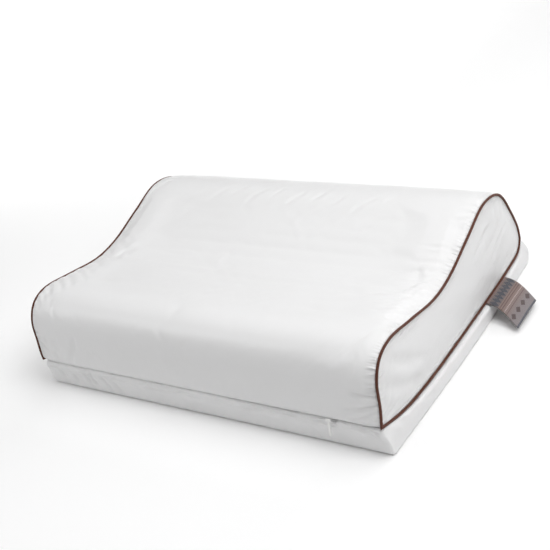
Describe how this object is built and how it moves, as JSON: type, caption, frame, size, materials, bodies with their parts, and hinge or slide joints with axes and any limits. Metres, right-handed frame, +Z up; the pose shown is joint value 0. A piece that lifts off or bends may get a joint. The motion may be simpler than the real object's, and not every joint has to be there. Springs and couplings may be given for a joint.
{
  "type": "cervical pillow",
  "caption": "Contoured cervical pillow with a low and a high lobe, piped ends, a flat zipped base layer and a woven side label.",
  "frame": {"origin": "centre of the underside, on the surface the pillow stands on", "axes": "+X along the pillow towards the end with the label, +Y from the low lobe to the high lobe, +Z up"},
  "size_m": [0.647, 0.4498, 0.1588],
  "materials": {
    "satin_cotton": "white satin-weave cotton with a soft sheen",
    "brown_piping": "dark brown woven bias strip over a cord",
    "woven_label": "taupe woven satin ribbon with a slate stitched edge",
    "white_nylon": "white moulded nylon"
  },
  "bodies": {
    "root": {"contour_cushion": "satin_cotton", "base_layer": "satin_cotton", "end_panel_left": "satin_cotton", "end_panel_right": "satin_cotton", "piping_left": "brown_piping", "piping_right": "brown_piping", "woven_label": "woven_label", "zip_pull": "white_nylon"}
  },
  "joints": []
}
